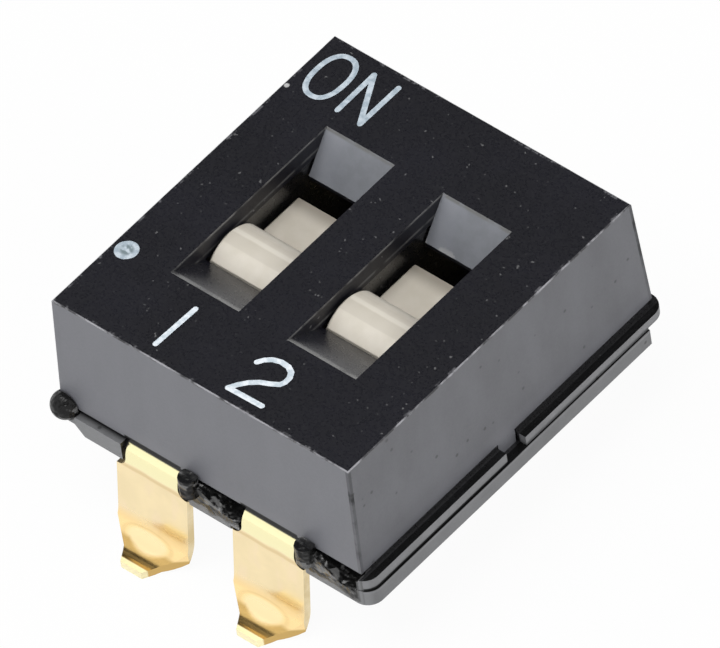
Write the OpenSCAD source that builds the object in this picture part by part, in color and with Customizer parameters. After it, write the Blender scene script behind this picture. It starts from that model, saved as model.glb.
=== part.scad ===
// Two-position slide DIP switch for surface mounting.
// X runs along the row of positions, -Y is the numbered (OFF) side and +Y the ON side.
// The origin is on the solder plane, under the middle of the housing.

/* [Housing] */
// Distance between the two positions
pitch = 2.54; // [2.4:0.02:2.8]
// From the centre of an outer slot to the edge of the cover's top
side_margin = 1.955; // [1.88:0.005:2.3]
// Depth of the cover's top, from the numbered side to the ON side
top_d = 7.15; // [7.05:0.01:7.8]
// Height of the cover
cover_h = 2.4; // [2.3:0.02:2.8]
// Outward slope of the cover's two sides, in degrees
side_draft = 1.3; // [0.5:0.1:3]
// Outward slope of the cover's two ends, in degrees
end_draft = 2.7; // [0.5:0.1:3.5]
// Chamfer round the top of the cover
edge_c = 0.02; // [0.01:0.01:0.08]
// Thickness of the cover's outer walls at the rim
wall = 0.6; // [0.5:0.02:0.7]
// Thickness of the cover's top between the slots
top_t = 0.43; // [0.35:0.01:0.5]

/* [Slots] */
// Width of a slot
slot_w = 1.49; // [1.42:0.01:1.6]
// Length of a slot at the cover's top
slot_l = 3.94; // [3.8:0.02:4.2]
// Length of the ramp at a slot's OFF end
off_ramp_l = 0.8; // [0.6:0.02:0.9]
// Length of the steep face at a slot's ON end
on_ramp_l = 0.57; // [0.3:0.01:0.6]
// Depth of the steep face at a slot's ON end
on_ramp_h = 0.71; // [0.55:0.01:0.74]
// Depth of the thick cover behind both ends of a slot
end_h = 0.79; // [0.76:0.01:0.81]

/* [Sliders] */
// Distance that a slider travels from OFF to ON
travel = 1.2; // [0.9:0.01:1.24]
// Radius of the knob's round crown
knob_r = 0.67; // [0.6:0.01:0.72]
// From the crown's axis to the knob's flat front
knob_front = 0.495; // [0.4:0.005:0.55]
// Depth of the crown's axis below the slider's plate
crown_sink = 0.025; // [0:0.005:0.1]
// Depth of the slider's plate below the cover's top
plate_depth = 0.845; // [0.83:0.005:0.95]
// Thickness of the slider's plate
plate_t = 0.45; // [0.35:0.01:0.6]
// Length of a slider
plate_l = 3.13; // [3:0.01:3.3]
// Width of the plate and the knob
plate_w = 1.38; // [1.2:0.01:1.4]
// Chamfer along the knob and the plate
slider_c = 0.04; // [0.02:0.01:0.08]
// Thickness of the slider's skirt round its spring pocket
skirt_t = 0.22; // [0.18:0.01:0.24]
// Running clearance of a slider in its channel and over the floor
run_gap = 0.03; // [0.02:0.005:0.05]
// Clearance between a knob and its stop at OFF
stop_gap = 0.04; // [0.02:0.01:0.06]
// Room past the end of a slider at ON
end_room = 0.09; // [0.05:0.01:0.15]

/* [Base] */
// Height of the base above the solder plane
stand_off = 1.46; // [1.3:0.02:1.8]
// Thickness of the base below the cover's rim
base_t = 0.72; // [0.72:0.02:0.9]
// Chamfer round the underside of the base
base_c = 0.08; // [0.04:0.01:0.12]
// Rounding of the base's upright edges
base_r = 0.3; // [0.2:0.01:0.36]
// How far the side ledges stand out past the cover's rim
ledge_out = 0.2; // [0.14:0.01:0.25]
// Depth of the side ledges below the cover's rim
ledge_drop = 0.06; // [0.04:0.01:0.08]
// How much lower the ON half of a side ledge lies
ledge_step = 0.04; // [0.02:0.01:0.06]
// Height of the side ledges' outer faces
ledge_h = 0.24; // [0.16:0.01:0.26]
// How far the lower body stands out past the side ledges
body_out = 0.03; // [0.02:0.01:0.08]
// How far the base stands out past the cover's rim at both ends
end_out = 0.12; // [0.08:0.01:0.16]
// Depth of the end ledges below the cover's rim
end_drop = 0.09; // [0.08:0.01:0.14]
// From the cover's rim back to the wall behind the end ledges
end_inset = 0.1; // [0.04:0.01:0.14]
// Height of the undercut beside two opposite corners
undercut_h = 0.25; // [0.2:0.01:0.28]
// Further height of the undercut at the corner itself
undercut_rise = 0.2; // [0.1:0.01:0.22]
// From the middle of the housing to the slope of the undercut
undercut_x = 2.72; // [2.4:0.01:2.9]
// From the cover's rim back to the wall of the undercut
undercut_in = 0.37; // [0.15:0.01:0.4]
// From the middle of a neck to the post beside it
post_x = 0.885; // [0.8:0.005:0.95]
// Radius of the posts
post_r = 0.17; // [0.12:0.01:0.18]
// From the cover's rim to the middle of a post
post_out = 0.12; // [0.08:0.01:0.16]
// Height of the posts above the cover's rim
post_rise = 0.12; // [0.05:0.01:0.2]
// Depth of the posts below the cover's rim
post_drop = 0.3; // [0.2:0.01:0.4]
// Radius of the ball-shaped nub at one corner
nub_r = 0.265; // [0.15:0.005:0.28]
// From the cover's side in to the middle of the nub
nub_in = 0.13; // [0.05:0.01:0.2]
// From the cover's end out to the middle of the nub
nub_out = 0.04; // [0.02:0.01:0.08]
// Clearance between the cover's wall and what stands in front of it
front_gap = 0.02; // [0.01:0.01:0.04]
// From the middle of a neck to the recess beyond its post
recess_x = 1.1; // [1.06:0.01:1.2]
// Depth of the recess below the cover's rim
recess_h = 0.38; // [0.3:0.01:0.5]
// Length of the recess's slope
recess_l = 0.5; // [0.3:0.01:0.6]
// How far the recess reaches in under the rim
recess_in = 0.3; // [0.2:0.01:0.4]
// Clearance between the cover and the base's inner block
fit_gap = 0.05; // [0.03:0.01:0.08]

/* [Latches] */
// Width of the snap tongues that hold the cover
latch_w = 0.42; // [0.3:0.02:0.6]
// Thickness of the snap tongues
latch_t = 0.24; // [0.2:0.01:0.28]
// Length of the snap tongues below the cover's rim
latch_drop = 0.58; // [0.5:0.01:0.6]
// Reach of the barb on each tongue
barb = 0.08; // [0.04:0.01:0.1]
// Clearance round the tongues
latch_gap = 0.03; // [0.02:0.01:0.05]
// Place of the tongues, from the middle of the housing
latch_y = -0.03; // [-0.3:0.01:0.3]

/* [Terminals] */
// Thickness of the terminal sheet
sheet_t = 0.15; // [0.12:0.01:0.2]
// Depth of the contact floor below the cover's rim
floor_drop = 0.05; // [0.04:0.01:0.08]
// Width of a leg
leg_w = 1.54; // [1.4:0.02:1.7]
// Width of a neck
neck_w = 1.14; // [1:0.02:1.2]
// Width of a contact pad
pad_w = 0.9; // [0.82:0.02:0.98]
// Distance between the two pads of a position
pad_gap = 0.55; // [0.45:0.01:0.6]
// Length of the pad that is moulded into the end wall
pad_anchor = 0.25; // [0.1:0.01:0.4]
// Height of the notches beside a neck
notch_h = 0.56; // [0.5:0.01:0.6]
// Rounding in the corners of the notches
notch_r = 0.17; // [0.08:0.01:0.18]
// From the cover's rim back to the centre of the upper bend
bend_back = 0.28; // [0.22:0.01:0.32]
// Outer radius of the upper bend
bend_r = 0.38; // [0.3:0.01:0.42]
// How far a leg leans outwards, in degrees
splay = 7.5; // [5:0.5:9]
// Inner radius of the bend above the foot
foot_bend_r = 0.5; // [0.3:0.01:0.52]
// From the cover's rim to the tip of the foot
foot_reach = 0.905; // [0.88:0.005:1.1]
// Width of the solder foot where the leg's taper ends
foot_root_w = 0.8; // [0.7:0.02:1]
// Width of the solder foot at its tip
foot_w = 0.45; // [0.4:0.01:0.65]
// Length of the solder foot
foot_l = 0.295; // [0.2:0.005:0.35]
// Length of the taper from the leg to the foot
taper_l = 0.31; // [0.2:0.01:0.4]
// Clearance between a leg and the base
leg_gap = 0.05; // [0.03:0.01:0.08]

/* [Wipers] */
// Thickness of the spring strip
wiper_t = 0.08; // [0.06:0.01:0.1]
// Width of the spring strip
wiper_w = 0.8; // [0.7:0.02:0.86]
// Distance between the two contact points
wiper_span = 1.75; // [1.7:0.01:1.8]
// From the knob's middle to the wiper's, towards OFF
wiper_shift = 0.27; // [0.24:0.01:0.3]
// Length of the wiper's flat crown
crown_l = 0.8; // [0.7:0.02:0.9]
// Radius of the bend beside the crown
shoulder_r = 0.12; // [0.08:0.01:0.2]
// Slope of the sprung legs, as the direction that their outer side faces
leg_angle = 30; // [20:1:40]
// Outer radius of the curled tips
tip_r = 0.16; // [0.13:0.01:0.18]
// Gap between the two fingers of a leg
finger_gap = 0.2; // [0.1:0.01:0.3]
// Clearance between the tips and the pads
contact_gap = 0.015; // [0.01:0.005:0.03]
// Radius of the slider's peg through the wiper
peg_r = 0.17; // [0.1:0.01:0.2]
// Length of the peg
peg_h = 0.2; // [0.14:0.01:0.3]

/* [Hidden] */
$fn = 48;
eps = 0.01;
far = 20;
position_x = [-pitch / 2, pitch / 2];

// levels above the solder plane
rim_z = stand_off + base_t;
top_z = rim_z + cover_h;
floor_z = rim_z - floor_drop;
ceiling_z = top_z - top_t;
end_z = top_z - end_h;
plate_z = top_z - plate_depth;
pocket_z = plate_z - plate_t;
skirt_z = floor_z + run_gap;
body_z = rim_z - ledge_drop - ledge_h;
leg_top_z = floor_z - notch_h;

// half sizes of the housing in plan
top_w = pitch + 2 * side_margin;
rim_x = top_w / 2 + cover_h * tan(side_draft);
rim_y = top_d / 2 + cover_h * tan(end_draft);
cavity_x = rim_x - wall;
cavity_y = rim_y - wall;
block_x = cavity_x - fit_gap;
block_y = cavity_y - fit_gap;
core_y = rim_y - end_inset;
ledge_x = rim_x + ledge_out;
body_x = ledge_x + body_out;
end_y = rim_y + end_out;

// a slot's end walls, and a slider's places at OFF
off_wall_y = off_ramp_l - slot_l / 2;
on_wall_y = slot_l / 2 - on_ramp_l;
crown_y = off_wall_y + stop_gap + knob_front;
crown_z = plate_z - crown_sink;
knob_end_y = crown_y + sqrt(pow(knob_r, 2) - pow(crown_sink, 2));
knob_y = (off_wall_y + stop_gap + knob_end_y) / 2;
slider_y = [knob_y - plate_l / 2, knob_y + plate_l / 2];
wiper_y = knob_y - wiper_shift;
channel_w = slot_w + 2 * run_gap;
skirt_w = channel_w - 2 * run_gap;
channel_y = max(slider_y[1] + travel, -slider_y[0]) + end_room;

// a terminal's places, measured outwards from the middle of the housing
bend_y = rim_y - bend_back;
pad_end_y = channel_y + pad_anchor;
leg_l = (floor_z - bend_r + (bend_r + foot_bend_r) * sin(splay) - foot_bend_r - sheet_t) / cos(splay);
foot_bend_y = bend_y + (bend_r + foot_bend_r) * cos(splay) + leg_l * sin(splay);
tip_y = rim_y + foot_reach;
taper_y = tip_y - foot_l;

// a block between two corners
module box(x, y, z) {
    translate([x[0], y[0], z[0]]) cube([x[1] - x[0], y[1] - y[0], z[1] - z[0]]);
}

// a side view, drawn as [y, z], pushed out along X
module along_x(w) {
    rotate([90, 0, 90]) linear_extrude(w, center = true) children();
}

// a front view, drawn as [x, z], pushed out along Y
module along_y(d) {
    rotate([90, 0, 0]) linear_extrude(d, center = true) children();
}

module both_sides() {
    for (side = [0, 1]) mirror([side, 0, 0]) children();
}

module both_ends() {
    for (turn = [0, 180]) rotate(turn) children();
}

module each_position() {
    for (x = position_x) translate([x, 0, 0]) children();
}

// the outline of a drafted block, chamfered at the top
module draft_section(half, draft) {
    rim = half + cover_h * tan(draft);
    shoulder = half + edge_c * tan(draft);
    polygon([
        [-rim, 0],
        [rim, 0],
        [shoulder, cover_h - edge_c],
        [half - edge_c, cover_h],
        [edge_c - half, cover_h],
        [-shoulder, cover_h - edge_c]
    ]);
}

// the cover's outside: drafted sides and ends, chamfered top
module drafted_block() {
    intersection() {
        along_y(far) draft_section(top_w / 2, side_draft);
        along_x(far) draft_section(top_d / 2, end_draft);
    }
}

// a slot from the side: a long ramp at OFF and a steep face at ON
module slot_section() {
    polygon([
        [-slot_l / 2, 0],
        [off_wall_y, -top_t],
        [off_wall_y, -end_h - eps],
        [on_wall_y, -end_h - eps],
        [on_wall_y, -on_ramp_h],
        [slot_l / 2, 0],
        [slot_l / 2, eps],
        [-slot_l / 2, eps]
    ]);
}

// a snap tongue under the cover's +X wall, its barb turned inwards
module latch(gap) {
    translate([rim_x - latch_t, latch_y, rim_z]) along_y(latch_w + 2 * gap)
        polygon([
            [latch_t, 0],
            [latch_t, -latch_drop - gap],
            [0, -latch_drop - gap],
            [-barb - gap, barb - latch_drop - gap],
            [-barb - gap, 2 * barb - latch_drop],
            [-gap, 3 * barb - latch_drop],
            [-gap, 0]
        ]);
}

module cover() {
    color([0.15, 0.15, 0.17]) {
        difference() {
            translate([0, 0, rim_z]) drafted_block();
            difference() {
                box([-cavity_x, cavity_x], [-cavity_y, cavity_y], [rim_z - eps, ceiling_z]);
                each_position() box([-slot_w / 2, slot_w / 2], [-rim_y, rim_y], [end_z, top_z]);
            }
            translate([0, 0, top_z]) each_position() along_x(slot_w) slot_section();
        }
        both_sides() latch(0);
    }
}

// a block with round upright edges and a chamfered underside
module rounded_block(half_x, half_y, z) {
    function edge(out) = [[0, 0], [out - base_c, 0], [out, base_c], [out, z[1] - z[0]], [0, z[1] - z[0]]];
    core = [half_x - base_r, half_y - base_r];
    translate([0, 0, z[0]]) {
        for (side = [0, 1]) {
            mirror([side, 0, 0]) along_y(2 * core[1]) polygon(edge(half_x));
            mirror([0, side, 0]) along_x(2 * core[0]) polygon(edge(half_y));
        }
        for (x = [-core[0], core[0]], y = [-core[1], core[1]])
            translate([x, y, 0]) rotate_extrude() polygon(edge(base_r));
    }
}

// the base below the cover's rim: lower body, narrower ledges, and the seat of the cover
module base_body() {
    rounded_block(body_x, end_y, [stand_off, body_z]);
    difference() {
        rounded_block(ledge_x, end_y, [stand_off + base_c, rim_z - ledge_drop]);
        both_sides() box([rim_x, far], [latch_y, far], [rim_z - ledge_drop - ledge_step, rim_z]);
        both_ends() box([-rim_x, rim_x], [core_y, far], [rim_z - end_drop, rim_z]);
    }
    box([-rim_x, rim_x], [-core_y, core_y], [body_z, rim_z]);
}

// the room that one terminal's neck and leg need in the base's ON side
module leg_room() {
    box([-leg_w / 2 - leg_gap, leg_w / 2 + leg_gap], [bend_y, far], [0, leg_top_z + leg_gap]);
    box([-neck_w / 2 - leg_gap, neck_w / 2 + leg_gap], [bend_y, far], [0, rim_z + eps]);
}

// the sloping recess beyond the post of a numbered-side terminal
module recess() {
    low_z = rim_z - recess_h;
    translate([0, recess_in - rim_y - far / 2, 0]) along_y(far)
        polygon([
            [recess_x, rim_z + eps],
            [recess_x, rim_z - end_drop],
            [recess_x + recess_l, low_z],
            [pitch - neck_w / 2, low_z],
            [pitch - neck_w / 2, rim_z + eps]
        ]);
}

// the post beside a numbered-side terminal, in front of the cover's wall
module post() {
    intersection() {
        translate([post_x, -rim_y - post_out, rim_z - post_drop])
            cylinder(r = post_r, h = post_drop + post_rise);
        box([0, pitch], [-far, -rim_y - front_gap], [0, top_z]);
    }
}

// the ball-shaped nub under the cover's corner beside position 1
module nub() {
    difference() {
        translate([nub_in - rim_x, -rim_y - nub_out, rim_z]) sphere(nub_r);
        box([-rim_x - front_gap, 0], [-rim_y - front_gap, 0], [rim_z - end_drop, top_z]);
    }
}

// the undercut at the +X end of the ON side, seen from the front
module undercut() {
    low_z = stand_off + undercut_h;
    translate([0, rim_y - undercut_in + far / 2, 0]) along_y(far)
        polygon([
            [pitch / 2, 0],
            [pitch / 2, low_z],
            [undercut_x, low_z],
            [undercut_x + undercut_rise, low_z + undercut_rise],
            [far, low_z + undercut_rise],
            [far, 0]
        ]);
}

// the room for a terminal's pad and neck, open above
module terminal_pocket() {
    box([-pad_w / 2, pad_w / 2], [pad_gap / 2, pad_end_y], [floor_z - sheet_t, floor_z]);
    box([-neck_w / 2, neck_w / 2], [pad_end_y, far], [floor_z - sheet_t, floor_z]);
    box([-neck_w / 2, neck_w / 2], [block_y, far], [floor_z - eps, rim_z + eps]);
}

// the room for a snap tongue, and the gap in the ledge beside it
module latch_room() {
    half = latch_w / 2 + latch_gap;
    latch(latch_gap);
    box([rim_x - latch_t, far], [latch_y - half, latch_y + half], [body_z, rim_z + eps]);
}

module base() {
    color([0.13, 0.13, 0.14]) {
        difference() {
            union() {
                base_body();
                box([-block_x, block_x], [-block_y, block_y], [floor_z, ceiling_z - run_gap]);
            }
            each_position() {
                box([-channel_w / 2, channel_w / 2], [-channel_y, channel_y], [floor_z, top_z]);
                box([-channel_w / 2, channel_w / 2], [-rim_y, rim_y], [end_z - run_gap, top_z]);
            }
            both_ends() {
                each_position() {
                    leg_room();
                    terminal_pocket();
                    recess();
                }
                undercut();
            }
            both_sides() latch_room();
        }
        both_ends() each_position() post();
        nub();
    }
}

// the cream slider at OFF: knob, plate, and a skirt round the spring pocket
module slider() {
    edge = slider_c;
    color([0.87, 0.83, 0.76])
        difference() {
            union() {
                intersection() {
                    translate([0, crown_y, crown_z]) rotate([0, 90, 0]) rotate_extrude()
                        polygon([[0, -plate_w / 2], [knob_r - edge, -plate_w / 2],
                            [knob_r, edge - plate_w / 2], [knob_r, plate_w / 2 - edge],
                            [knob_r - edge, plate_w / 2], [0, plate_w / 2]]);
                    box([-plate_w, plate_w], [crown_y - knob_front, crown_y + far], [plate_z - eps, top_z]);
                }
                translate([0, knob_y, plate_z]) along_y(plate_l)
                    polygon([[-plate_w / 2, -plate_t], [plate_w / 2, -plate_t], [plate_w / 2, -edge],
                        [plate_w / 2 - edge, 0], [edge - plate_w / 2, 0], [-plate_w / 2, -edge]]);
                box([-skirt_w / 2, skirt_w / 2], slider_y, [skirt_z, pocket_z]);
            }
            box([skirt_t - skirt_w / 2, skirt_w / 2 - skirt_t],
                [slider_y[0] + skirt_t, slider_y[1] - skirt_t], [skirt_z - eps, pocket_z]);
        }
        translate([0, wiper_y, pocket_z - peg_h]) cylinder(r = peg_r, h = peg_h + eps);
}

// points on an arc about c, from angle a0 to a1
function arc(c, r, a0, a1, n) = [
    for (i = [0 : n]) let (a = a0 + (a1 - a0) * i / n) c + r * [cos(a), sin(a)]
];

// the outline of a strip of thickness t along a path
function normal(path, i) =
    let (
        before = path[max(i - 1, 0)],
        after = path[min(i + 1, len(path) - 1)],
        run = (after - before) / norm(after - before)
    ) [-run[1], run[0]];
function strip(path, t) = concat(
    [for (i = [0 : len(path) - 1]) path[i] + normal(path, i) * t / 2],
    [for (i = [len(path) - 1 : -1 : 0]) path[i] - normal(path, i) * t / 2]
);

// half of the wiper from the side: crown, sprung leg and curled tip
function wiper_path() =
    let (
        crown = pocket_z - wiper_t / 2,
        tip = [wiper_span / 2, floor_z + contact_gap + tip_r],
        shoulder = [crown_l / 2, crown - shoulder_r]
    ) concat(
        [[0, crown]],
        arc(shoulder, shoulder_r, 90, leg_angle, 6),
        arc(tip, tip_r - wiper_t / 2, 180 + leg_angle, 350, 12)
    );

// the sprung contact strip under a slider, split into two fingers at each end
module wiper() {
    color([0.85, 0.68, 0.32])
        translate([0, wiper_y, 0]) difference() {
            for (end = [0, 1])
                mirror([0, end, 0]) along_x(wiper_w) polygon(strip(wiper_path(), wiper_t));
            for (end = [0, 1])
                mirror([0, end, 0])
                    box([-finger_gap / 2, finger_gap / 2], [crown_l / 2, far], [0, pocket_z]);
            translate([0, 0, pocket_z - peg_h]) cylinder(r = peg_r + run_gap / 2, h = 2 * peg_h);
        }
}

// a bend in the sheet, from level sheet to the leg's slope
module bend(r) {
    intersection() {
        difference() {
            circle(r + sheet_t);
            circle(r);
        }
        square(far);
        rotate(-splay) square(far);
    }
}

// a terminal from the side: pad, upper bend, splayed leg, lower bend, foot
module terminal_section() {
    translate([bend_y, floor_z - bend_r]) {
        translate([pad_gap / 2 - bend_y, bend_r - sheet_t]) square([bend_y - pad_gap / 2, sheet_t]);
        rotate(splay) {
            bend(bend_r - sheet_t);
            translate([bend_r - sheet_t, -leg_l]) square([sheet_t, leg_l]);
            translate([bend_r + foot_bend_r, -leg_l]) {
                rotate(180) bend(foot_bend_r);
                rotate(-splay) translate([0, -foot_bend_r - sheet_t])
                    square([tip_y - foot_bend_y, sheet_t]);
            }
        }
    }
}

// a terminal from the front: neck, rounded notches, wide leg
module terminal_front() {
    translate([-leg_w / 2, -eps]) square([leg_w, leg_top_z + eps]);
    translate([-neck_w / 2, -eps]) square([neck_w, floor_z + 2 * eps]);
    for (side = [0, 1])
        mirror([side, 0]) translate([neck_w / 2, leg_top_z]) difference() {
            translate([-eps, -eps]) square(notch_r + eps);
            translate([notch_r, notch_r]) circle(notch_r);
        }
}

// a terminal from above: pad, neck and leg, and the taper to the foot
module terminal_plan() {
    half = [[pad_w / 2, 0], [pad_w / 2, pad_end_y], [leg_w / 2, pad_end_y],
        [leg_w / 2, taper_y - taper_l], [foot_root_w / 2, taper_y], [foot_w / 2, tip_y]];
    polygon(concat(half, [for (i = [len(half) - 1 : -1 : 0]) [-half[i][0], half[i][1]]]));
}

// the stamped terminal on the ON side
module terminal() {
    color([0.93, 0.78, 0.46])
        intersection() {
            along_x(leg_w) terminal_section();
            rotate([90, 0, 0]) linear_extrude(2 * far, center = true) terminal_front();
            linear_extrude(top_z) terminal_plan();
        }
}

cover();
base();
translate([position_x[0], 0, 0]) slider();  // slider_1
translate([position_x[1], 0, 0]) slider();  // slider_2
translate([position_x[0], 0, 0]) wiper();  // wiper_1
translate([position_x[1], 0, 0]) wiper();  // wiper_2
translate([position_x[0], 0, 0]) rotate(180) terminal();  // front_terminal_1
translate([position_x[1], 0, 0]) rotate(180) terminal();  // front_terminal_2
translate([position_x[0], 0, 0]) terminal();  // back_terminal_1
translate([position_x[1], 0, 0]) terminal();  // back_terminal_2
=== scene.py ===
"""Looks for a two-position slide DIP switch: plastics, gold, lettering, floor, lights and camera.

Materials find their places by position, in millimetres in the part's own frame, and by the way
that a face looks. X runs along the row of positions, -Y is the numbered side, and Z is the height
above the solder plane.
"""

import math

import bmesh
import bpy
from mathutils import Matrix, Vector

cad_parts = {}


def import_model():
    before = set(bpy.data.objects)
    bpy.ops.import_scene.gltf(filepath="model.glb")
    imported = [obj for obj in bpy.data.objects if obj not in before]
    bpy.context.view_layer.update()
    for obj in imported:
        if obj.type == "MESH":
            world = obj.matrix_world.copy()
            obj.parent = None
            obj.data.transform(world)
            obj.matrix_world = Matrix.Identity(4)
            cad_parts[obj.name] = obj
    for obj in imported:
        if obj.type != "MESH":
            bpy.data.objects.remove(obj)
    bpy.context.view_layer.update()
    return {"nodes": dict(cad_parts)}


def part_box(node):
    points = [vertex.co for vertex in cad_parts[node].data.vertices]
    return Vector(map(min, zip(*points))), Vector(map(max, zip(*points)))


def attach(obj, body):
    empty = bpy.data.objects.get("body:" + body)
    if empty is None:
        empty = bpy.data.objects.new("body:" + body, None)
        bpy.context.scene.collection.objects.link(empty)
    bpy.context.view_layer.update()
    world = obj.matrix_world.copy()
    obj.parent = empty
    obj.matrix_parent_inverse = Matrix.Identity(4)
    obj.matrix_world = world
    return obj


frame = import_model()
nodes = frame["nodes"]
mm = 0.001

# from the frame: the cover's top, in metres and in millimetres, and the step between positions
top_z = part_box("cover")[1][2]
top = top_z / mm
pitch = (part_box("slider_2")[0][0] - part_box("slider_1")[0][0]) / mm

# repeated from the part's source: half the cover's top, in millimetres, and its drafts, in degrees
half_top_x, half_top_y = 3.225, 3.575
side_draft, end_draft = 1.3, 2.7

# azimuth and elevation of the lamp that the world keeps dark behind it
left_lamp = (-48, 33)


# ---------------------------------------------------------------- camera
def aim(azimuth, elevation):
    """A direction from the object. Azimuth 0 is -Y and 90 is +X."""
    az, el = math.radians(azimuth), math.radians(elevation)
    return Vector((math.sin(az) * math.cos(el), -math.cos(az) * math.cos(el), math.sin(el)))


def place_camera():
    """A long lens from the right of the numbered side, rolled a little as in the photograph."""
    azimuth, elevation, roll = 47.5, 48.07, math.radians(-9.07)
    distance, shift_right, shift_down = 385.3, 0.308, 1.1785
    back = aim(azimuth, elevation)
    level = Vector((0, 0, 1)).cross(back).normalized()
    upright = back.cross(level)
    right = math.cos(roll) * level + math.sin(roll) * upright
    up = -math.sin(roll) * level + math.cos(roll) * upright
    at = (shift_right * right - shift_down * up + distance * back) * mm + Vector((0, 0, top_z))

    data = bpy.data.cameras.new("camera")
    data.sensor_width, data.lens = 36, 1175.4
    data.clip_start, data.clip_end = 0.01, 10
    camera = bpy.data.objects.new("camera", data)
    axes = Matrix((right, up, back)).transposed().to_4x4()
    camera.matrix_world = Matrix.Translation(at) @ axes
    bpy.context.scene.collection.objects.link(camera)
    bpy.context.scene.camera = camera


# ---------------------------------------------------------------- node helpers
class Graph:
    """Short words for building a node tree. Each gives a node or a socket that others can take."""

    def __init__(self, tree):
        self.tree = tree

    def node(self, kind, inputs=None, **settings):
        """A new node with its settings, and with inputs by name or number."""
        made = self.tree.nodes.new(kind)
        for key, value in settings.items():
            setattr(made, key, value)
        for key, value in (inputs or {}).items():
            self.feed(made.inputs[key], value)
        return made

    def feed(self, socket, value):
        """Links a socket or a node's first output, and sets anything else as the socket's value."""
        if isinstance(value, bpy.types.NodeSocket):
            self.tree.links.new(value, socket)
        elif isinstance(value, bpy.types.Node):
            self.tree.links.new(value.outputs[0], socket)
        else:
            socket.default_value = value

    def math(self, operation, a, b=0.0):
        """One step of arithmetic, by Blender's name for it."""
        return self.node("ShaderNodeMath", {0: a, 1: b}, operation=operation)

    def size(self, value):
        """A value without its sign."""
        return self.math("ABSOLUTE", value)

    def inverse(self, value):
        """One less a mask."""
        return self.math("SUBTRACT", 1.0, value)

    def product(self, *factors):
        """The factors multiplied, which is where all masks meet."""
        total = factors[0]
        for factor in factors[1:]:
            total = self.math("MULTIPLY", total, factor)
        return total

    def most(self, *values):
        """The largest of the values, which joins masks."""
        total = values[0]
        for value in values[1:]:
            total = self.math("MAXIMUM", total, value)
        return total

    def ramp(self, value, low, high, to_low=0.0, to_high=1.0):
        """A smooth step of value between low and high."""
        inputs = {0: value, 1: low, 2: high, 3: to_low, 4: to_high}
        return self.node("ShaderNodeMapRange", inputs, interpolation_type="SMOOTHSTEP").outputs[0]

    def band(self, value, a, b, c, d):
        """One between b and c, and nothing below a and above d."""
        return self.product(self.ramp(value, a, b), self.ramp(value, c, d, 1.0, 0.0))

    def mix(self, factor, a, b):
        """Colour a where the factor is nothing, and colour b where it is one."""
        return self.node("ShaderNodeMix", {0: factor, 6: a, 7: b}, data_type="RGBA").outputs[2]

    def paint(self, mask, tone):
        """Lays a tone over the base colour where the mask is one."""
        self.base = self.mix(mask, self.base, tone)

    def stretch(self, x, y, z):
        """The place, scaled along each axis."""
        factors = {0: self.place, 1: (x, y, z)}
        return self.node("ShaderNodeVectorMath", factors, operation="MULTIPLY").outputs[0]

    def noise(self, place, scale, detail=3.0, rough=0.55):
        """Smooth noise from nothing to one, which repeats in every run."""
        inputs = {"Vector": place, "Scale": scale, "Detail": detail, "Roughness": rough}
        return self.node("ShaderNodeTexNoise", inputs).outputs[0]

    def patches(self, scale, detail, low, high, to_low=0.0, to_high=1.0, rough=0.55):
        """Random patches, scale of them to the millimetre, from to_low to to_high."""
        return self.ramp(self.noise(self.place, scale, detail, rough), low, high, to_low, to_high)

    def from_point(self, point):
        """The distance from a point, all in millimetres."""
        ends = {0: self.place, 1: point}
        return self.node("ShaderNodeVectorMath", ends, operation="DISTANCE").outputs["Value"]

    def across(self):
        """X from the middle of its own position, towards +X."""
        lane = self.math("FLOORED_MODULO", self.math("ADD", self.at[0], pitch), pitch)
        return self.math("SUBTRACT", lane, pitch / 2)


def material(name, **sockets):
    """A Principled material with its constants on its own sockets, and its graph.

    The graph's place is in millimetres, at is its X, Y and Z, and facing is the face's normal.
    """
    mat = bpy.data.materials.new(name)
    mat.use_nodes = True
    g = Graph(mat.node_tree)
    g.bsdf = mat.node_tree.nodes["Principled BSDF"]
    for key, value in sockets.items():
        g.feed(g.bsdf.inputs[key.replace("_", " ")], value)
    coordinates = g.node("ShaderNodeTexCoord").outputs
    g.place = coordinates["Object"]
    g.place = g.stretch(1 / mm, 1 / mm, 1 / mm)
    g.at = g.node("ShaderNodeSeparateXYZ", {0: g.place}).outputs
    g.facing = g.node("ShaderNodeSeparateXYZ", {0: coordinates["Normal"]}).outputs
    return mat, g


def grey(level):
    """A grey, as a colour."""
    return (level, level, level, 1)


def shade(tone, share):
    """A share of a tone, as a colour."""
    return tuple(min(1, share * channel) for channel in tone) + (1,)


# ---------------------------------------------------------------- plastics
def black_plastic(name, tone):
    """Black plastic with faint cloudiness and pale dust: the material, and its graph with masks.

    The graph's x and y are distances from the middle, and upright is one on upright faces.
    """
    mat, g = material(name, IOR=1.75)
    g.x, g.y = g.size(g.at[0]), g.size(g.at[1])
    g.upright = g.ramp(g.size(g.facing[2]), 0.3, 0.6, 1.0, 0.0)
    g.base = g.mix(g.patches(0.7, 4, 0.35, 0.7), shade(tone, 0.85), shade(tone, 1.2))
    dust = g.patches(11, 1, 0.75, 0.78, 0.0, 0.25)
    g.paint(dust, grey(0.4))
    return mat, g


def paint_lit_grey(g, mask, tone, end_light):
    """Paints the masked faces a lighter grey as painted light, paler still at both ends as more
    painted light, with streaks and dark pits.
    """
    streaks = g.noise(g.stretch(1.2, 0.8, 0.35), 1.6, 4)
    side = g.mix(g.ramp(streaks, 0.3, 0.7), shade(tone, 0.88), shade(tone, 1.1))
    end = g.ramp(g.size(g.facing[1]), 0.4, 0.8)
    side = g.mix(g.product(end, end_light), side, shade(tone, 1.9))
    cells = g.node("ShaderNodeTexVoronoi", {"Vector": g.place, "Scale": 2.8}).outputs["Distance"]
    pits = g.product(g.ramp(cells, 0.06, 0.13, 0.75, 0.0), g.inverse(end))
    g.paint(mask, g.mix(pits, side, grey(0.012)))


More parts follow.
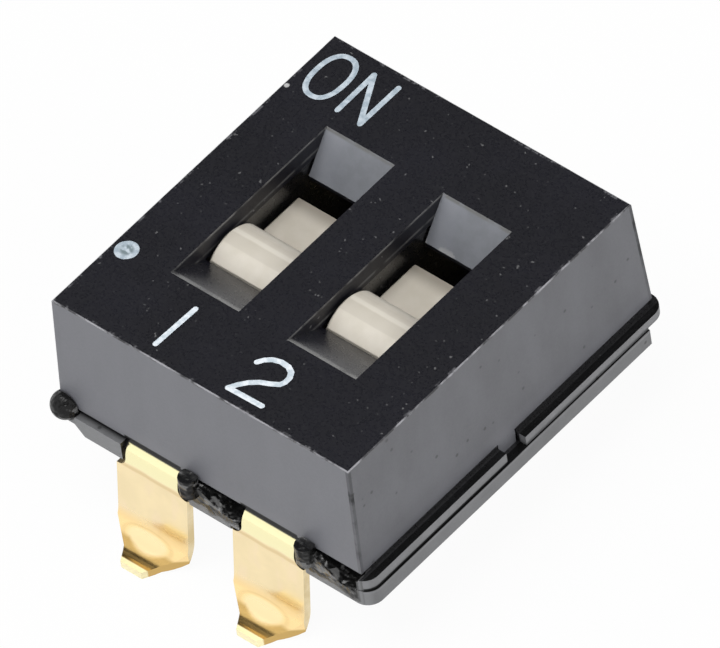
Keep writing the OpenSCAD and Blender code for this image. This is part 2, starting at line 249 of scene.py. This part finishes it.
def finish_plastic(g, rough, dark, dull, lumps=None):
    """Adds the dark places, and feeds colour, gloss, grain and lumps to the shader."""
    g.paint(g.product(dark, 0.95), grey(0.004))
    grain = g.noise(g.place, 22, 4, 0.7)
    shine = g.product(g.ramp(rough, 0.0, 1.0, 0.65, 0.4), g.ramp(dull, 0.0, 1.0, 1.0, 0.2))
    roughness = g.math("ADD", g.ramp(grain, 0.2, 0.8, 0.24, 0.36), g.product(rough, 0.22))
    normal = g.node("ShaderNodeBump", {"Strength": 0.12, "Distance": 0.01 * mm, "Height": grain})
    if lumps is not None:
        height = g.product(lumps, g.noise(g.place, 3.2, 2))
        normal = g.node("ShaderNodeBump", {"Strength": 1.0, "Distance": 0.16 * mm,
                                           "Normal": normal, "Height": height})
    g.feed(g.bsdf.inputs["Base Color"], g.base)
    g.feed(g.bsdf.inputs["Specular IOR Level"], shine)
    g.feed(g.bsdf.inputs["Roughness"], roughness)
    g.feed(g.bsdf.inputs["Normal"], normal)


def past_edge(g, place, half_top, draft, down):
    """How far a point of the cover lies past its top's edge, with the draft taken out."""
    spread = g.product(down, math.tan(math.radians(draft)))
    return g.math("SUBTRACT", g.math("SUBTRACT", place, spread), half_top)


def cover_slots(g, down, steep):
    """Paints the steep ends of the slots a lighter grey as painted light, paler still to the left
    as more painted light, with worn flecks low down.
    """
    tone = g.mix(g.patches(5, 4, 0.35, 0.65), (0.148, 0.156, 0.176, 1), (0.170, 0.180, 0.201, 1))
    g.paint(steep, tone)
    # painted light: paler towards each slot's left wall
    left = g.ramp(g.across(), -0.57, -0.07, 0.6, 0.0)
    g.paint(g.product(steep, left), (0.24, 0.25, 0.28, 1))
    flecks = g.product(g.ramp(down, 0.6, 0.7), g.patches(4, 3, 0.56, 0.62, 0.0, 0.6))
    g.paint(g.product(steep, flecks), grey(0.4))


def cover_plastic():
    """The cover: rougher sides and steep slot ends painted lighter as painted light, rubbed edges,
    dark corner lines, a painted highlight along the slots' top edges and painted shadow above the
    necks.
    """
    mat, g = black_plastic("cover_plastic", (0.005, 0.005, 0.009))
    down = g.math("SUBTRACT", top, g.at[2])
    past_x = past_edge(g, g.x, half_top_x, side_draft, down)
    past_y = past_edge(g, g.y, half_top_y, end_draft, down)

    # drafted sides under a ragged top edge, and the steep faces at the slots' ON ends
    ragged = g.math("SUBTRACT", down, g.product(g.noise(g.place, 6, 3), 0.11))
    outer = g.product(g.ramp(g.most(past_x, past_y), -0.075, -0.045), g.upright,
                      g.ramp(ragged, -0.04, -0.02))
    steep = g.product(g.ramp(g.facing[1], -0.75, -0.65, 1.0, 0.0),
                      g.band(g.facing[2], 0.5, 0.58, 0.66, 0.7))
    sides = g.most(outer, steep)
    # painted light: the sides and steep ends in a lighter grey
    paint_lit_grey(g, sides, (0.087, 0.089, 0.100), end_light=0.58)
    cover_slots(g, down, steep)
    # painted light: the sides paler just above the rim
    light_near_rim = g.ramp(down, 2.0, 2.3, 0.0, 0.25)
    g.paint(g.product(outer, light_near_rim), (0.17, 0.17, 0.19, 1))

    # rubbed flecks along the top's edge, and one chip in its left side
    near_x, near_y = (g.ramp(past, -0.07, -0.055) for past in (past_x, past_y))
    edge = g.most(near_x, near_y)
    under_top = g.ramp(down, 0.015, 0.05, 1.0, 0.0)
    flecks = g.patches(3.4, 5, 0.54, 0.62, 0.0, 0.35, rough=0.7)
    g.paint(g.product(edge, under_top, flecks), (0.3, 0.3, 0.32, 1))
    chip_middle = (-3.15, 2.27, top)
    g.paint(g.ramp(g.from_point(chip_middle), 0.03, 0.06, 0.9, 0.0), grey(0.55))

    # dark lines down the +X corners, and a painted shadow along the cover's bottom edge above the
    # terminals' necks
    corner = g.product(near_x, near_y, g.inverse(under_top), g.ramp(down, 0.2, 1.8, 1.0, 0.6),
                       g.ramp(g.at[0], 0.0, 1.0), g.patches(2.6, 3, 0.45, 0.65, 0.5, 1.0))
    from_position = g.size(g.math("SUBTRACT", g.x, pitch / 2))
    rim_gap_shadow = g.product(g.ramp(down, 2.345, 2.365), g.ramp(from_position, 0.6, 0.64, 1.0, 0.0),
                     g.ramp(past_y, -0.075, -0.045))
    dark = g.most(corner, rim_gap_shadow)

    # the slots' walls, with a faint mould line and a painted highlight along the slots' top edges
    inner = g.product(g.upright, g.ramp(g.x, 3.0, 3.1, 0.7, 0.0), g.ramp(g.y, 3.0, 3.1, 1.0, 0.0))
    wall = g.product(inner, g.ramp(g.size(g.facing[0]), 0.8, 0.9))
    mould_line = g.product(wall, g.band(down, 0.28, 0.31, 0.32, 0.36))
    brink_highlight = g.product(g.ramp(down, 0.03, 0.06, 1.0, 0.0), g.ramp(g.facing[2], 0.95, 0.98, 1.0, 0.0),
                      g.ramp(g.x, 2.6, 2.7, 1.0, 0.0), g.ramp(g.y, 2.6, 2.7, 1.0, 0.0))
    g.paint(g.product(g.most(mould_line, brink_highlight), g.patches(3, 4, 0.3, 0.55)), grey(0.12))

    # the chamfer round the top
    chamfer = g.band(g.facing[2], 0.66, 0.69, 0.73, 0.78)
    g.paint(g.product(chamfer, edge, g.patches(2.4, 4, 0.4, 0.6)), (0.26, 0.26, 0.28, 1))

    finish_plastic(g, rough=g.most(sides, inner, chamfer), dark=dark,
                   dull=g.most(dark, g.product(wall, 0.8)))
    return mat


def base_plastic():
    """The base: rougher rails and flanges painted lighter as painted light, painted shade on
    ledges, in a line between them and in the recesses, painted highlights there, and glossy dark
    posts and nub.
    """
    mat, g = black_plastic("base_plastic", (0.006, 0.006, 0.007))
    rail = g.ramp(g.x, 3.33, 3.36)
    flange = g.band(g.y, 3.76, 3.79, 3.812, 3.83)
    front = g.ramp(g.at[1], -3.5, -3.4, 1.0, 0.0)

    # dark places: posts and nub, and painted shade in the recesses between the terminals and right
    # of them
    nub_middle = (-3.149, -3.728, 2.18)
    nub = g.ramp(g.from_point(nub_middle), 0.27, 0.29, 1.0, 0.0)
    stub = g.most(g.ramp(g.y, 3.83, 3.84), nub)
    ragged = g.math("ADD", g.at[2], g.product(g.noise(g.place, 4, 3), 0.3))
    right_drop = g.ramp(g.at[0], 2.75, 3.0, 0.0, 0.12)
    recess_shade = g.product(front, g.band(g.at[0], -0.75, -0.65, 3.2, 3.3),
                       g.ramp(g.math("ADD", ragged, right_drop), 1.82, 1.90))
    dark_places = g.most(stub, recess_shade)

    # the lip left of terminal 1, made lighter with the sides below as painted light, and painted
    # shade on the edge of the opening beside it
    lip = g.product(front, g.ramp(g.at[0], -1.9, -1.8, 1.0, 0.0), g.ramp(g.y, 3.62, 3.80),
                    g.ramp(g.at[2], 1.9, 2.0))
    jamb = g.product(front, g.ramp(g.facing[0], 0.8, 0.9),
                     g.band(g.at[0], -1.93, -1.91, -1.87, -1.85))

    # painted light: the upright faces of the rails and flanges, and the lip, in a lighter grey
    plain = g.product(g.most(rail, flange), g.upright)
    sides = g.product(g.most(plain, lip), g.inverse(g.most(dark_places, jamb)))
    paint_lit_grey(g, sides, (0.115, 0.117, 0.122), end_light=0.5)

    # the ledges: painted shade on their tops, painted light in strips above and below, and a
    # painted shadow line between them
    streaks = g.noise(g.stretch(6, 0.8, 1), 1.5, 3)
    ledge = g.product(rail, g.ramp(g.facing[2], 0.8, 0.9), g.ramp(streaks, 0.35, 0.6, 0.75, 1.0))
    pale = g.product(rail, g.upright, g.most(g.band(g.at[2], 1.93, 1.96, 2.10, 2.13),
                                             g.band(g.at[2], 1.80, 1.83, 1.85, 1.865)))
    g.paint(g.product(pale, g.ramp(streaks, 0.3, 0.7, 0.3, 0.8)), (0.18, 0.18, 0.19, 1))
    between = g.product(rail, g.band(g.at[2], 1.86, 1.875, 1.915, 1.93),
                        g.ramp(g.at[1], -0.2, 0.3, 1.0, 0.3))
    painted_shade = g.most(between, jamb, ledge)

    # painted highlights in the dark places
    painted_highlight = g.product(dark_places, g.ramp(g.noise(g.stretch(0.8, 1, 1.6), 3, 3), 0.55, 0.6))
    g.paint(painted_highlight, grey(0.13))

    finish_plastic(g, rough=sides, dark=g.product(g.most(dark_places, painted_shade), g.inverse(painted_highlight)),
                   dull=g.most(stub, painted_shade, g.product(recess_shade, 0.6)), lumps=dark_places)
    return mat


def cream_plastic():
    """Moulded cream plastic: faint mottling, painted light and shade in bands across the knob, and
    painted shade in brown on the plate, deepest at its back end.
    """
    mat, g = material("cream_plastic", IOR=1.5, Roughness=0.5)
    y = g.at[1]
    g.base = g.mix(g.patches(3, 4, 0.3, 0.7), (0.62, 0.575, 0.49, 1), (0.67, 0.625, 0.545, 1))
    # painted shade on the plate down in the slot, deepest at its back end
    plate = g.ramp(g.at[2], 3.76, 3.95, 1.0, 0.0)
    g.paint(g.product(plate, 0.12), (0.47, 0.40, 0.31, 1))
    g.paint(g.product(plate, g.ramp(y, 0.66, 0.98), 0.75), (0.25, 0.22, 0.18, 1))

    # painted light and shade in bands across the knob
    knob = g.inverse(plate)
    for place, strength, tone in (
        (g.band(y, -0.82, -0.79, -0.57, -0.55), 0.5, (0.51, 0.47, 0.40, 1)),
        (g.band(y, -0.55, -0.53, -0.47, -0.45), 0.7, (0.72, 0.68, 0.60, 1)),
        (g.band(y, -0.45, -0.43, -0.34, -0.30), 0.4, (0.53, 0.48, 0.41, 1)),
        (g.ramp(y, -0.30, -0.2), 0.6, (0.78, 0.73, 0.65, 1)),
    ):
        g.paint(g.product(knob, place, strength), tone)

    bump = {"Strength": 0.1, "Distance": 0.01 * mm, "Height": g.noise(g.place, 14, 3)}
    g.feed(g.bsdf.inputs["Base Color"], g.base)
    g.feed(g.bsdf.inputs["Normal"], g.node("ShaderNodeBump", bump))
    return mat


# ---------------------------------------------------------------- gold
def gold(name, tone):
    """Gold plate over rolled sheet, cloudy in tone and gloss: the material and its graph."""
    mat, g = material(name, Metallic=1.0)
    g.base = g.mix(g.patches(1.6, 3, 0.3, 0.7), shade(tone, 0.96), shade(tone, 1.03))
    haze = g.ramp(g.noise(g.stretch(2.2, 1, 0.8), 1.3, 2), 0.5, 0.68, 0.0, 0.35)
    g.paint(haze, (0.95, 0.76, 0.54, 1))
    g.rough = g.patches(2.4, 4, 0.25, 0.75, 0.14, 0.2)
    return mat, g


def finish_gold(g):
    """Feeds colour and gloss to the shader."""
    g.feed(g.bsdf.inputs["Base Color"], g.base)
    g.feed(g.bsdf.inputs["Roughness"], g.rough)


def oval_reflection(g, outer):
    """Paints a reflection in an oval on a leg's lower bend: a paler middle as painted highlight,
    inside a thin darker ring as painted dark reflection.
    """
    middle_x, middle_z, half_width, half_height = -0.05, 0.30, 0.50, 0.15
    sideways = g.math("DIVIDE", g.math("SUBTRACT", g.across(), middle_x), half_width)
    upwards = g.math("DIVIDE", g.math("SUBTRACT", g.at[2], middle_z), half_height)
    spot = g.node("ShaderNodeCombineXYZ", {0: sideways, 1: upwards})
    away = g.node("ShaderNodeVectorMath", {0: spot}, operation="LENGTH").outputs["Value"]
    g.paint(g.product(outer, g.ramp(away, 0.7, 0.95, 0.5, 0.0)), (1.0, 0.85, 0.54, 1))
    g.paint(g.product(outer, g.band(away, 0.9, 1.0, 1.06, 1.2), 0.3), (0.70, 0.50, 0.22, 1))


def terminal_gold():
    """A terminal with painted light and shade: a painted highlight on the upper bend, a painted
    dark line under it, a lower bend painted deeper with a painted reflection in an oval, a painted
    dark reflection on the brown foot, and a pale toe.
    """
    mat, g = gold("terminal_gold", (0.94, 0.775, 0.475))
    y = g.size(g.at[1])
    z = g.math("ADD", g.at[2], g.product(g.noise(g.place, 1.3, 2), 0.08))

    # from the top down: a painted highlight on the upper bend, a painted dark line under it, and a
    # lower bend painted deeper as painted shade, and duller
    outer = g.ramp(y, 3.55, 3.60)
    g.paint(g.product(outer, g.ramp(z, 1.69, 1.74)), (0.97, 0.90, 0.54, 1))
    crease_shade = g.band(z, 1.59, 1.64, 1.66, 1.71)
    g.paint(g.product(outer, crease_shade, 0.7), (0.74, 0.56, 0.30, 1))
    g.paint(g.ramp(z, 0.45, 0.72, 1.0, 0.0), (0.98, 0.73, 0.36, 1))
    g.rough = g.math("ADD", g.rough, g.product(g.ramp(z, 0.62, 0.85, 1.0, 0.0),
                                               g.ramp(z, 0.32, 0.42), 0.12))

    # painted shade on the cut side edges
    edge = g.ramp(g.size(g.facing[0]), 0.8, 0.9)
    edge_shade = g.mix(g.patches(1.7, 3, 0.35, 0.65), (0.66, 0.52, 0.28, 1), (0.82, 0.70, 0.46, 1))
    g.paint(edge, edge_shade)
    oval_reflection(g, outer)

    # painted dark reflection in brown on the foot, which reaches higher at its sides, and a paler,
    # non-metallic toe
    across = g.across()
    rise = g.math("MINIMUM", g.product(across, across, 0.4), 0.06)
    foot = g.ramp(g.math("SUBTRACT", g.at[2], rise), 0.155, 0.21, 1.0, 0.0)
    g.paint(foot, (0.60, 0.40, 0.14, 1))
    toe = g.product(foot, g.ramp(y, 4.48, 4.51))
    g.paint(toe, (0.93, 0.83, 0.50, 1))

    # painted shadow on the neck, beside the wall that it comes out of
    neck_shadow = g.product(g.band(y, 3.50, 3.52, 3.65, 3.67), g.ramp(g.at[2], 1.7, 1.8))
    g.paint(neck_shadow, grey(0.006))

    finish_gold(g)
    bare = g.most(toe, neck_shadow)
    g.feed(g.bsdf.inputs["Metallic"], g.inverse(bare))
    return mat


def wiper_gold():
    """The sprung contacts: a redder gold."""
    mat, g = gold("wiper_gold", (0.93, 0.70, 0.36))
    finish_gold(g)
    return mat


# ---------------------------------------------------------------- lettering
def marking_paint():
    """Bluish white ink, uneven in tone, whiter in the digits, and thin in the dot's middle."""
    mat, g = material("marking_paint", Roughness=0.55)
    uneven = g.patches(7, 4, 0.35, 0.65)
    letters = g.mix(uneven, (0.33, 0.40, 0.46, 1), (0.54, 0.61, 0.67, 1))
    digits = g.mix(uneven, (0.52, 0.60, 0.66, 1), (0.78, 0.83, 0.88, 1))
    in_digits = g.product(g.ramp(g.at[1], -2.3, -2.2, 1.0, 0.0), g.ramp(g.at[0], -2.5, -2.0))
    dot_middle = (-2.93, -2.02, top)
    thin = g.product(g.ramp(g.from_point(dot_middle), 0.08, 0.15, 1.0, 0.0),
                     g.patches(8, 2, 0.38, 0.55))
    g.base = g.mix(in_digits, letters, digits)
    g.paint(thin, (0.17, 0.22, 0.24, 1))
    g.feed(g.bsdf.inputs["Base Color"], g.base)
    return mat


def stroke(bm, points, width):
    """A flat ribbon with round ends along points, just above the cover's top.

    Each stretch lies a step above the one before, so that no two faces share a plane.
    """
    above, step, end_steps = 0.002 * mm, 0.0001 * mm, 12
    z = top_z + above
    for (ax, ay), (bx, by) in zip(points, points[1:]):
        way = math.atan2(by - ay, bx - ax)
        ring = []
        for cx, cy, start in ((ax, ay, way + math.pi / 2), (bx, by, way - math.pi / 2)):
            for i in range(end_steps + 1):
                a = start + math.pi * i / end_steps
                x, y = cx + width / 2 * math.cos(a), cy + width / 2 * math.sin(a)
                ring.append(bm.verts.new((x * mm, y * mm, z)))
        bm.faces.new(ring)
        z += step


def oval(middle_x, middle_y, width, height, count=40):
    """A closed ring, a little fuller at its shoulders than an ellipse."""
    def full(share):
        return math.copysign(abs(share) ** 0.85, share)

    turns = [2 * math.pi * i / count for i in range(count + 1)]
    return [(middle_x + width / 2 * full(math.cos(a)), middle_y + height / 2 * full(math.sin(a)))
            for a in turns]


def lettering():
    """ON, 1, 2 and the dot, as flat ink that rides on the housing."""
    thick, digit_thick, dot_width = 0.1, 0.105, 0.40
    marks = {
        "letter_o": (oval(-2.672, 2.832, 0.61, 1.0), thick),
        "letter_n": ([(-2.10, 2.34), (-2.11, 3.285), (-1.59, 2.32), (-1.585, 3.295)], thick),
        "digit_1": ([(-1.187, -3.30), (-1.15, -2.34)], thick),
        "digit_2": ([(0.44, -2.627), (0.507, -2.527), (0.617, -2.44), (0.767, -2.395),
                     (0.933, -2.407), (1.05, -2.473), (1.107, -2.583), (1.107, -2.70),
                     (1.067, -2.783), (0.933, -2.86), (0.767, -2.933), (0.617, -3.05),
                     (0.50, -3.19), (0.417, -3.325), (1.13, -3.307)], digit_thick),
        "marking_dot": ([(-2.94, -2.035), (-2.92, -2.015)], dot_width),
    }
    ink = marking_paint()
    for name, (points, width) in marks.items():
        bm = bmesh.new()
        stroke(bm, points, width)
        obj = add_mesh(name, bm, ink)
        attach(obj, "housing")


def add_mesh(name, bm, mat):
    """An object in the scene from a bmesh, with its material."""
    mesh = bpy.data.meshes.new(name)
    bm.to_mesh(mesh)
    bm.free()
    mesh.materials.append(mat)
    obj = bpy.data.objects.new(name, mesh)
    bpy.context.scene.collection.objects.link(obj)
    return obj


def dress(node, mat):
    """Gives a CAD node its material."""
    obj = nodes[node]
    obj.data.materials.clear()
    obj.data.materials.append(mat)


# ---------------------------------------------------------------- floor, world and lamps
def floor():
    """A plain pale floor, almost white where it is seen, which keeps a faint shadow."""
    white_share = 0.95
    mat = bpy.data.materials.new("floor_white")
    mat.use_nodes = True
    mat.node_tree.nodes.clear()
    g = Graph(mat.node_tree)
    ray = g.node("ShaderNodeLightPath").outputs
    seen = g.most(ray["Is Camera Ray"], ray["Is Glossy Ray"], ray["Is Transmission Ray"])
    diffuse = g.node("ShaderNodeBsdfDiffuse", {"Color": grey(0.8)})
    glow = g.node("ShaderNodeEmission", {"Color": grey(1), "Strength": 1.0})
    surface = g.node("ShaderNodeMixShader", {0: g.product(seen, white_share), 1: diffuse, 2: glow})
    g.node("ShaderNodeOutputMaterial", {"Surface": surface})

    bm = bmesh.new()
    bmesh.ops.create_circle(bm, cap_ends=True, radius=1.5, segments=64)
    obj = add_mesh("floor", bm, mat)


def world():
    """Bright round the horizon except behind the left lamp, dim overhead, white to the camera."""
    horizon, overhead, behind_lamp = 1.18, 0.03, 0.05
    surround = bpy.data.worlds.new("world")
    bpy.context.scene.world = surround
    surround.use_nodes = True
    surround.node_tree.nodes.clear()
    g = Graph(surround.node_tree)
    way = g.node("ShaderNodeTexCoord").outputs["Generated"]
    up = g.node("ShaderNodeSeparateXYZ", {0: way}).outputs[2]
    towards_lamp = g.node("ShaderNodeVectorMath", {0: way, 1: aim(*left_lamp)},
                          operation="DOT_PRODUCT").outputs["Value"]
    sky = g.product(g.ramp(up, 0.2, 0.62, horizon, overhead),
                    g.ramp(towards_lamp, 0.765, 0.805, 1.0, behind_lamp))
    light = g.most(sky, g.node("ShaderNodeLightPath").outputs["Is Camera Ray"])
    back = g.node("ShaderNodeBackground", {"Color": grey(1), "Strength": light})
    g.node("ShaderNodeOutputWorld", {"Surface": back})


def lamp(name, azimuth, elevation, size, radiance):
    """A square soft lamp aimed at the object."""
    distance, middle = 0.30, Vector((0, 0, 0.002))
    way = aim(azimuth, elevation)
    data = bpy.data.lights.new(name, "AREA")
    data.shape, data.size = "SQUARE", size
    data.energy = radiance * math.pi * size * size
    obj = bpy.data.objects.new(name, data)
    obj.location = middle + way * distance
    obj.rotation_euler = way.to_track_quat("Z", "Y").to_euler()
    bpy.context.scene.collection.objects.link(obj)


# ---------------------------------------------------------------- the scene
place_camera()
dress("cover", cover_plastic())
dress("base", base_plastic())
cream, terminal_mat, wiper_mat = cream_plastic(), terminal_gold(), wiper_gold()
for i in (1, 2):
    dress(f"slider_{i}", cream)
    dress(f"wiper_{i}", wiper_mat)
    dress(f"front_terminal_{i}", terminal_mat)
    dress(f"back_terminal_{i}", terminal_mat)
lettering()
floor()
world()
lamp("key", -6, 74, size=0.20, radiance=5.3)
lamp("left", *left_lamp, size=0.40, radiance=1.05)
lamp("right", 105, 25, size=0.20, radiance=2.5)

bpy.context.scene.view_settings.view_transform = "Standard"
